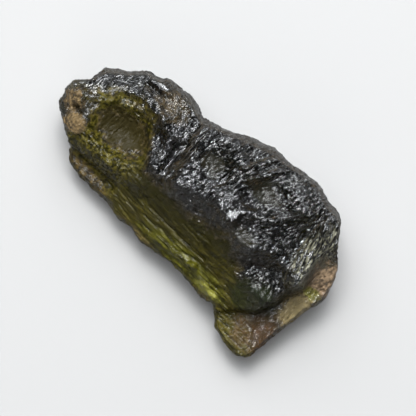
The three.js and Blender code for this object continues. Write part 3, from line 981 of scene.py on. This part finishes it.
@dataclass(frozen=True)
class GlassFinish:
    """Natural glass: see-through green, darker with depth, with an etched and partly weathered skin."""

    name: str = "natural_glass"
    ior: float = 1.49
    depth_colour: Colour = (0.72, 0.70, 0.30, 1.0)
    depth_density: float = 950.0
    clear: Colour = (0.97, 0.96, 0.80, 1.0)
    dark: Colour = (0.018, 0.021, 0.016, 1.0)
    brown: Colour = (0.42, 0.29, 0.17, 1.0)
    tan: Colour = (0.120, 0.082, 0.038, 1.0)
    russet: Colour = (0.066, 0.034, 0.013, 1.0)
    rose: Colour = (0.280, 0.195, 0.120, 1.0)
    sand: Colour = (0.185, 0.145, 0.070, 1.0)
    umber: Colour = (0.016, 0.012, 0.009, 1.0)
    coal: Colour = (0.012, 0.011, 0.007, 1.0)
    olive: Colour = (0.066, 0.063, 0.005, 1.0)
    lime: Colour = (0.130, 0.125, 0.022, 1.0)
    shade: Colour = (0.009, 0.008, 0.001, 1.0)
    moss: Colour = (0.052, 0.043, 0.006, 1.0)
    hollow: Colour = (0.013, 0.010, 0.002, 1.0)
    pool: Colour = (0.007, 0.010, 0.002, 1.0)
    # Painted sheen: light grey-green lines that stand in for reflections on the striations of the broad end
    sheen_stripe: Colour = (0.150, 0.145, 0.100, 1.0)
    # Painted sheen: the grey of the lines on steep walls
    sheen_slate: Colour = (0.062, 0.063, 0.057, 1.0)
    least_roughness: float = 0.07
    most_roughness: float = 0.24
    satin_roughness: float = 0.44
    crust_roughness: float = 0.42
    end_knob: Patch = Patch((-10.9, -0.9, 5.4), (0.95, 0.85, 2.5), 2.4)
    cheek_knob: Patch = Patch((-9.8, -2.1, 4.9), (1.05, 0.85, 2.5), 1.2)
    head_end: Patch = Patch((-10.8, -1.4, 4.5), (1.9, 2.1, 4.0), 1.2)
    tip: Patch = Patch((9.9, -4.2, 3.0), (2.1, 2.0, 3.5), 1.3)
    band: Patch = Patch((11.0, -1.1, 3.4), (1.3, 2.1, 3.0), 1.2)
    rim: Patch = Patch((10.9, 1.8, 4.0), (1.5, 1.9, 3.5), 1.4)
    # Painted highlight: a bright lime spot on the band of the thin rim
    painted_glint: Patch = Patch((11.1, 0.5, 3.6), (0.75, 0.55, 3.0), 1.8)
    sheen_striped_end: Patch = Patch((9.3, 2.6, 5.5), (1.5, 3.2, 4.5), 1.2)
    green_hollow: Patch = Patch((8.3, -2.7, 5.0), (2.3, 1.7, 3.5), 1.0)
    # Painted shade: three hollows of the thick body, where dark coal crust covers the glass and the chips
    # tilt less
    dim: tuple[Patch, ...] = (
        Patch((-0.4, 2.4, 7.0), (1.1, 0.9, 2.0), 2.0),
        Patch((3.3, 3.4, 7.0), (1.9, 0.75, 2.0), 2.0),
        Patch((4.5, 0.1, 7.4), (1.2, 0.6, 2.0), 2.0),
    )
    calm: tuple[Patch, ...] = (
        Patch((2.95, 0.68, 8.0), (0.75, 0.60, 2.0)),
        Patch((1.9, 0.75, 8.0), (0.40, 0.55, 2.0)),
        Patch((-7.0, 4.1, 5.5), (0.75, 0.30, 2.0)),
        Patch((-4.0, 4.35, 5.5), (0.45, 0.45, 2.0)),
    )
    ledge: Patch = Patch((-7.4, -4.6, 2.4), (3.4, 1.0, 2.0))
    scoop: Patch = Patch((-6.9, -0.2, 4.4), (2.5, 1.6, 2.5), 1.8)
    hump: Patch = Patch((-5.3, 3.4, 5.5), (1.5, 1.3, 2.5), 1.8)
    glow: Patch = Patch((2.8, -4.2, 3.4), (4.6, 1.2, 3.0), 1.0)
    accent: Patch = Patch((5.3, -4.55, 3.4), (1.3, 0.40, 3.0), 1.6)

    # How much of each region is covered by opaque crust
    covers: tuple[tuple[str, float], ...] = (
        ("knobs", 0.85), ("flank", 0.80), ("warm", 0.60), ("scoop", 0.92), ("head_end", 0.40),
        ("dim", 0.60), ("stripes", 0.60), ("hump", 0.55), ("rim", 0.70), ("sandy", 0.75),
        ("green_hollow", 0.60),
    )
    crust_shine: float = 0.05
    # Where the border between flank and body moves: from X, to X, and how far it moves along Y
    body_border: tuple[tuple[float, float, float], ...] = (
        (-12.0, -7.8, 2.2), (-6.0, -3.4, -3.3), (0.5, 3.0, 0.5), (3.5, 8.5, -2.1),
    )
    # Where regions pass into each other, in millimetres
    body_edge: Span = (-0.7, 0.5)
    body_ends: Span = (9.8, 10.9)
    foot: Span = (0.2, 1.6)
    flank_ends: Span = (4.6, 6.0)
    flank_top: Span = (-4.6, -1.0)
    flank_slant: float = 0.08
    strip_edge: Span = (-4.95, -4.60)
    strip_starts: Span = (-3.5, -2.0)
    strip_ends: Span = (5.8, 6.6)
    head_to_body: Span = (-5.0, -3.2)
    waist_to_body: Span = (-1.8, -0.4)
    body_to_end: Span = (7.2, 8.6)
    chips_to_body: Span = (-2.0, -0.6)
    chips_to_end: Span = (7.4, 8.6)
    wall_side: Span = (-0.4, 2.0)
    # The rise of the normal at which a wall counts as steep, and at which as level
    steep_to_level: Span = (0.30, 0.80)
    # Where spots and lines start in a noise from 0 to 1, and where they are full
    dull_spots: Span = (0.35, 0.65)
    chip_spots: Span = (0.30, 0.70)
    earth_speckles: Span = (0.38, 0.60)
    moss_speckles: Span = (0.42, 0.60)
    scratch_lines: Span = (0.36, 0.62)
    sheen_stripe_lines: Span = (0.42, 0.62)
    wall_sheen_lines: Span = (0.44, 0.60)
    wall_gaps: Span = (0.62, 0.42)
    # Chips tilt the normal, and scratches are so many millimetres deep
    waist_chips: Lie = Lie(92.0, 1.20, 0.12)
    body_chips: Lie = Lie(74.0, 0.70, 0.12)
    end_chips: Lie = Lie(106.0, 1.50, 0.12)
    finest_chips: Lie = Lie(76.0, 0.28, 0.085)
    coarse_tilt: float = 0.85
    finest_tilt: float = 0.50
    waist_scratches: Lie = Lie(88.0, 0.50, 0.15)
    body_scratches: Lie = Lie(72.0, 0.55, 0.13)
    end_scratches: Lie = Lie(102.0, 0.60, 0.15)
    flank_scratches: Lie = Lie(-2.0, 1.6, 0.15)
    scratch_depth: float = 0.07

    def make(self) -> bpy.types.Material:
        """The material: see-through glass with absorption inside, mixed with an opaque etched crust.

        Returns:
            The finished material.
        """
        material = bpy.data.materials.new(self.name)
        nodes = Nodes(material)
        values = {"Color": self.depth_colour, "Density": self.depth_density}
        inside = nodes.add("ShaderNodeVolumeAbsorption", None, values)
        nodes.show(GlassSkin(self, nodes).surface(), inside)
        return material


class GlassSkin:
    """The nodes of the stone's skin: how much of each region holds at a place, and what they mix to."""

    def __init__(self, finish: GlassFinish, nodes: Nodes) -> None:
        """Add the nodes for the place, the noises and the regions.

        Args:
            finish: the finish, with its colours, patches and shares.
            nodes: the nodes of the material that is being made.
        """
        self.finish = finish
        self.nodes = nodes
        self.place = nodes.add("ShaderNodeTexCoord", output="Object")
        self.x, self.y, self.z = nodes.millimetres(self.place)
        self.ragged = nodes.noise(self.place, 1500.0, 4.0, 0.65) - 0.5
        self.mottle = nodes.noise(self.place, 3400.0, 3.0, 0.6)
        self.polish = nodes.noise(self.place, 420.0, 3.0)
        self.scratches = nodes.streaks(self.place, finish.flank_scratches)
        upward = nodes.height_of(nodes.add("ShaderNodeTexCoord", output="Normal"))
        self.steep = 1 - nodes.band(upward, *finish.steep_to_level)
        self.end_knob, self.cheek_knob = self.on(finish.end_knob), self.on(finish.cheek_knob)
        self.knobs = self.end_knob.largest(self.cheek_knob)
        self.head_end, self.scoop = self.on(finish.head_end), self.on(finish.scoop)
        self.hump, self.ledge = self.on(finish.hump), self.on(finish.ledge)
        self.tip, self.sandy, self.rim = self.on(finish.tip), self.on(finish.band), self.on(finish.rim)
        self.green_hollow = self.on(finish.green_hollow)
        # Painted shade: the hollows that the coal crust darkens
        self.dim = union(*(self.on(patch) for patch in finish.dim))
        self.body = self.thick_body()
        self.flank = (1 - self.body) * (1 - self.scoop)
        self.flank = self.flank * (1 - nodes.band(self.x + self.y, *finish.flank_ends))
        self.warm = self.warm_parts()
        self.relief = self.fine_relief() * (1 - self.flank) + self.scratches * self.flank
        # Painted sheen: light lines over the striations of the broad end
        lines = nodes.band(self.relief, *finish.sheen_stripe_lines)
        self.stripes = lines * self.on(finish.sheen_striped_end) * (1 - self.rim)

    def on(self, patch: Patch) -> Term:
        """Where a patch lies."""
        return self.nodes.near(self.place, patch, self.ragged)

    def thick_body(self) -> Term:
        """Where the stone is thick and near black: above the flank's border, and at the head's end.

        Returns:
            The share of the thick body, from 0 to 1.
        """
        finish, nodes = self.finish, self.nodes
        border = sum(nodes.band(self.x, start, end) * move for start, end, move in finish.body_border)
        body = nodes.band(self.y - border + self.ragged * 3.0, *finish.body_edge)
        body = body * (1 - nodes.band(self.x + self.ragged * 1.5, *finish.body_ends))
        body = body * nodes.band(self.z + self.ragged * 4.0, *finish.foot)
        body = body * (1 - (self.rim * 0.8).largest(self.sandy))
        return body.largest(self.head_end)

    def warm_parts(self) -> Term:
        """Where thin or weathered glass looks brown: tip, rim, band, ledge, hump and the flank's edge.

        Returns:
            The share of the brown tint, from 0 to 1.
        """
        finish, nodes = self.finish, self.nodes
        strip = 1 - nodes.band(self.y + self.ragged, *finish.strip_edge)
        strip = strip * nodes.band(self.x, *finish.strip_starts)
        strip = strip * (1 - nodes.band(self.x, *finish.strip_ends))
        return union(
            self.tip * 0.9, self.rim * 0.8, self.ledge * 0.8, self.hump * 0.4, strip * 0.7, self.sandy * 0.5
        )

    def fine_relief(self) -> Term:
        """Scratches finer than the mesh: their lie follows the grain of the waist, body and broad end.

        Returns:
            The height, from 0 to 1.
        """
        finish, nodes = self.finish, self.nodes
        waist = nodes.streaks(self.place, finish.waist_scratches)
        body = nodes.streaks(self.place, finish.body_scratches)
        end = nodes.streaks(self.place, finish.end_scratches)
        to_body = nodes.band(self.x, *finish.waist_to_body)
        to_end = nodes.band(self.x, *finish.body_to_end)
        return waist * (1 - to_body) + body * (to_body * (1 - to_end)) + end * to_end

    def chip_strength(self) -> Term:
        """How strongly the chips tilt: less on smooth parts, more on walls, uneven over the stone.

        Returns:
            The factor on the tilt.
        """
        finish, nodes = self.finish, self.nodes
        strength = (1 - self.flank * 0.7) * (1 - self.scoop * 0.6) * (1 - self.dim * 0.4)
        strength = strength * (1 - self.hump * 0.6)
        strength = strength * (nodes.band(self.polish, *finish.chip_spots) * 0.5 + 0.7)
        strength = strength * (self.steep * 0.8 + 1)
        for patch in finish.calm:
            strength = strength * (1 - self.on(patch) * 0.9)
        return strength

    def chipped_normal(self) -> Term:
        """The normal, tilted chip by chip, which gives the etched glass its many small glints.

        Returns:
            The tilted normal.
        """
        finish, nodes = self.finish, self.nodes
        place_x = self.x + self.ragged
        waist = nodes.chips(self.place, finish.waist_chips)
        body = nodes.chips(self.place, finish.body_chips)
        end = nodes.chips(self.place, finish.end_chips)
        coarse = nodes.lean_between(nodes.band(place_x, *finish.chips_to_body), waist, body)
        coarse = nodes.lean_between(nodes.band(place_x, *finish.chips_to_end), coarse, end)
        coarse = nodes.vectors("SCALE", coarse, finish.coarse_tilt)
        finest = nodes.vectors("SCALE", nodes.chips(self.place, finish.finest_chips), finish.finest_tilt)
        tilt = nodes.vectors("SCALE", nodes.vectors("ADD", coarse, finest), self.chip_strength())
        normal = nodes.add("ShaderNodeNewGeometry", output="Normal")
        tilted = nodes.vectors("ADD", normal, tilt)
        return nodes.add("ShaderNodeVectorMath", {"operation": "NORMALIZE"}, {0: tilted})

    def roughness(self) -> Term:
        """Roughness of the glass: polished and duller spots, and satin on the flank and in the scoop.

        Returns:
            The roughness, from 0 to 1.
        """
        finish = self.finish
        dull = self.nodes.band(self.polish, *finish.dull_spots)
        dull = dull * (finish.most_roughness - finish.least_roughness) + finish.least_roughness
        satin = (self.flank * 0.5).largest(self.scoop)
        return dull + satin * (finish.satin_roughness - finish.most_roughness)

    def earth_and_sheen_colour(self) -> Term:
        """The colours of the weathered crust. On steep walls it turns to umber with grey lines of painted
        sheen, and to the shade colour towards the south.

        Returns:
            The colour.
        """
        finish, nodes = self.finish, self.nodes
        light = nodes.blend(self.sandy, nodes.blend(self.rim, finish.tan, finish.rose), finish.sand)
        light = nodes.blend(self.tip.largest(self.ledge), light, finish.russet)
        even = union(
            self.rim * 0.7, self.tip * 0.5, self.sandy * 0.7, self.cheek_knob * 0.7, self.end_knob * 0.4
        )
        speckled = nodes.band(self.mottle, *finish.earth_speckles).largest(even)
        earth = nodes.blend(speckled, finish.umber, light)
        # Painted sheen: grey lines over the umber of steep walls
        wall = nodes.blend(nodes.band(self.relief, *finish.wall_sheen_lines), finish.umber, finish.sheen_slate)
        wall = nodes.blend(nodes.band(self.y, *finish.wall_side), finish.shade, wall)
        return nodes.blend(self.steep * (1 - self.knobs) * (1 - even), earth, wall)

    def green_colour(self) -> Term:
        """The milky green of the flank: striped along the body, mottled at the head, dark in the scoop.

        Returns:
            The colour.
        """
        finish, nodes = self.finish, self.nodes
        rise = self.y - self.x * finish.flank_slant
        light = nodes.band(self.scratches, *finish.scratch_lines) * (1 - nodes.band(rise, *finish.flank_top))
        bright = nodes.blend(self.on(finish.glow), finish.moss, finish.olive)
        striped = nodes.blend(light, finish.shade, bright)
        mossy = nodes.blend(nodes.band(self.mottle, *finish.moss_speckles), finish.shade, finish.moss)
        head = 1 - nodes.band(self.x, *finish.head_to_body)
        green = nodes.blend(head, striped, mossy)
        green = nodes.blend(self.on(finish.accent), green, finish.lime)
        return nodes.blend(self.scoop, green, finish.hollow)

    def crust_colour(self) -> Term:
        """The colour of the opaque crust all over the stone.

        Returns:
            The colour.
        """
        finish, nodes = self.finish, self.nodes
        dark = self.body * (1 - self.knobs) * (1 - self.hump * 0.35) * (1 - self.steep)
        colour = nodes.blend(dark, self.earth_and_sheen_colour(), finish.coal)
        green = self.flank.largest(self.scoop) * (1 - self.knobs) * (1 - self.warm * 0.6)
        colour = nodes.blend(green, colour, self.green_colour())
        colour = nodes.blend(self.green_hollow * 0.8, colour, finish.pool)
        # Painted highlight: the lime spot on the rim's band
        colour = nodes.blend(self.on(finish.painted_glint) * 0.8, colour, finish.lime)
        # Painted sheen lines at the broad end
        return nodes.blend(self.stripes, colour, finish.sheen_stripe)

    def crust_share(self) -> Term:
        """How much of the skin is crust: each region's own cover, and uneven lines on steep walls. On the
        walls the crust is partly matt etched skin and partly a painted dark cover in place of the glass's
        reflection.

        Returns:
            The factor between glass and crust.
        """
        finish = self.finish
        lines = self.nodes.band(self.relief, *finish.wall_gaps) * 0.45 + 0.48
        covers = [getattr(self, region) * cover for region, cover in finish.covers]
        return union(self.steep * lines, *covers)

    def surface(self) -> Term:
        """The glass and the crust, mixed.

        The crust shows where the stone is weathered, where the green flank is milky with fine scratches, on
        steep walls, and as painted shade in hollows of the body.

        Returns:
            The shader of the whole skin.
        """
        finish, nodes = self.finish, self.nodes
        bump = nodes.add("ShaderNodeBump", None, {
            "Strength": 1.0, "Distance": finish.scratch_depth * MM, "Height": self.relief,
            "Normal": self.chipped_normal(),
        })
        tint = nodes.blend(self.warm, nodes.blend(self.body, finish.clear, finish.dark), finish.brown)
        glass = nodes.add("ShaderNodeBsdfPrincipled", None, {
            "Base Color": tint, "Roughness": self.roughness(), "IOR": finish.ior,
            "Transmission Weight": 1.0, "Normal": bump,
        })
        crust = nodes.add("ShaderNodeBsdfPrincipled", None, {
            "Base Color": self.crust_colour(), "Roughness": self.scoop * 0.4 + finish.crust_roughness,
            "Specular IOR Level": finish.crust_shine, "Normal": bump,
        })
        return nodes.add("ShaderNodeMixShader", None, {0: self.crust_share(), 1: glass, 2: crust})


@dataclass(frozen=True)
class Panel:
    """A soft light: where it stands seen from the stone, its size in metres and its power in watts."""

    name: str
    azimuth: float
    elevation: float
    distance: float
    size: float
    power: float
    colour: tuple[float, float, float] = (1.0, 1.0, 1.0)


@dataclass
class Studio:
    """A pale floor, soft panels and the camera that looks straight down on the stone."""

    picture_turn: float = 43.0
    look_x: float = 1.385
    look_y: float = -0.105
    picture_width: float = 29.95
    plane_height: float = 3.6
    distance: float = 200.0
    floor_size: float = 1.2
    floor_colour: Colour = (0.215, 0.212, 0.208, 1.0)
    floor_roughness: float = 0.9
    world_colour: Colour = (0.17, 0.175, 0.185, 1.0)
    panels: tuple[Panel, ...] = (
        Panel("sky_panel", 133.0, 56.0, 0.42, 0.60, 4.4, (0.90, 0.95, 1.0)),
        Panel("bright_panel", 133.0, 60.0, 0.41, 0.34, 2.8, (0.94, 0.97, 1.0)),
        Panel("window_panel", 133.0, 62.0, 0.39, 0.12, 2.2),
        Panel("side_panel", -60.0, 40.0, 0.45, 0.30, 0.5, (1.0, 0.97, 0.92)),
    )

    def floor(self) -> bpy.types.Object:
        """The floor: a level sheet with a little roughness of its own.

        Returns:
            The floor, linked to the scene.
        """
        half = self.floor_size / 2
        corners = [(-half, -half, 0), (half, -half, 0), (half, half, 0), (-half, half, 0)]
        mesh = bpy.data.meshes.new("floor")
        mesh.from_pydata(corners, [], [(0, 1, 2, 3)])
        piece = bpy.data.objects.new("floor", mesh)
        bpy.context.scene.collection.objects.link(piece)
        material = bpy.data.materials.new("floor")
        nodes = Nodes(material)
        values = {"Base Color": self.floor_colour, "Roughness": self.floor_roughness}
        nodes.show(nodes.add("ShaderNodeBsdfPrincipled", None, values))
        mesh.materials.append(material)
        return piece

    def light(self, panel: Panel) -> None:
        """One square panel that faces the stone.

        Args:
            panel: where the panel stands, and how large and bright it is.
        """
        data = bpy.data.lights.new(panel.name, "AREA")
        data.size = panel.size
        data.energy = panel.power
        data.color = panel.colour
        lamp = bpy.data.objects.new(panel.name, data)
        azimuth, elevation = math.radians(panel.azimuth), math.radians(panel.elevation)
        level = math.cos(elevation)
        direction = Vector((math.cos(azimuth) * level, math.sin(azimuth) * level, math.sin(elevation)))
        lamp.location = direction * panel.distance
        lamp.rotation_euler = direction.to_track_quat("Z", "Y").to_euler()
        bpy.context.scene.collection.objects.link(lamp)

    def world(self) -> None:
        """An even pale surround."""
        world = bpy.data.worlds.new("surround")
        world.use_nodes = True
        world.node_tree.nodes["Background"].inputs["Color"].default_value = self.world_colour
        bpy.context.scene.world = world
        bpy.context.scene.view_settings.view_transform = "Standard"

    def camera(self) -> None:
        """The camera above the stone, turned so that the long axis falls as it does in the photograph."""
        data = bpy.data.cameras.new("camera")
        data.sensor_width = 36.0
        data.lens = data.sensor_width * self.distance / self.picture_width
        data.clip_start = 0.005
        data.clip_end = 20.0
        camera = bpy.data.objects.new("camera", data)
        turn = Matrix.Rotation(math.radians(self.picture_turn), 4, "Z")
        place = Vector((self.look_x, self.look_y, self.plane_height + self.distance)) * MM
        camera.matrix_world = Matrix.Translation(place) @ turn
        bpy.context.scene.collection.objects.link(camera)
        bpy.context.scene.camera = camera


def main() -> None:
    """Build the studio and the stone, and report each piece."""
    logging.basicConfig(level=logging.INFO, format="%(name)s: %(message)s")
    studio = Studio()
    studio.camera()
    studio.world()
    for panel in studio.panels:
        studio.light(panel)
        log.info("light %s", panel.name)
    studio.floor()
    log.info("floor")

    stone = Stone().build()
    finish = GlassFinish()
    stone.data.materials.append(finish.make())
    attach(stone, "root")
    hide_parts(NODE)
    log.info("stone: %d points, %d faces", len(stone.data.vertices), len(stone.data.polygons))


if __name__ == "__main__":
    main()
